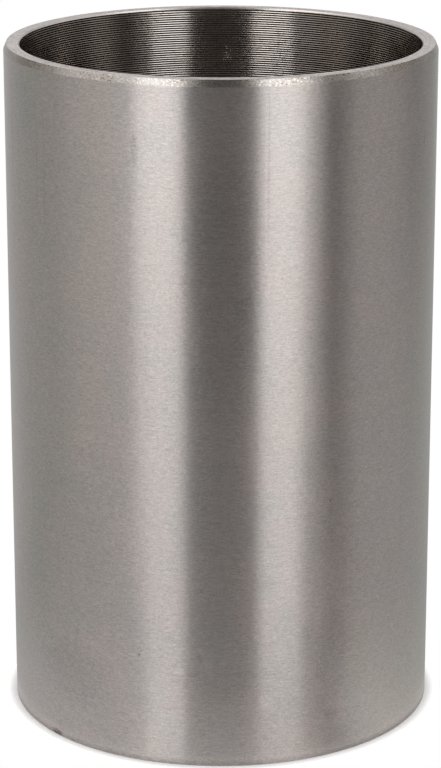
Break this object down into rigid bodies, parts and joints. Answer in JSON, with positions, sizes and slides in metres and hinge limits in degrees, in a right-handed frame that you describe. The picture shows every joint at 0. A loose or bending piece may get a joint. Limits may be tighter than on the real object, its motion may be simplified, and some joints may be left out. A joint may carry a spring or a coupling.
{
  "type": "cylinder liner",
  "caption": "Plain flangeless cylinder liner: a thin round tube, ground outside and coarsely bored inside, with a slim lead-in chamfer at one end.",
  "frame": {"origin": "centre of the lower end face, on the axis of the bore", "axes": "+Z along the axis of the bore, towards the end with the lead-in chamfer; X and Y are free, because the liner is round"},
  "size_m": [0.092, 0.092, 0.1465],
  "materials": {
    "machined_iron": "ground outside, coarsely bored inside, faced ends and a rough-turned lead-in chamfer"
  },
  "bodies": {
    "root": {"cylinder_liner": "machined_iron"}
  },
  "joints": []
}
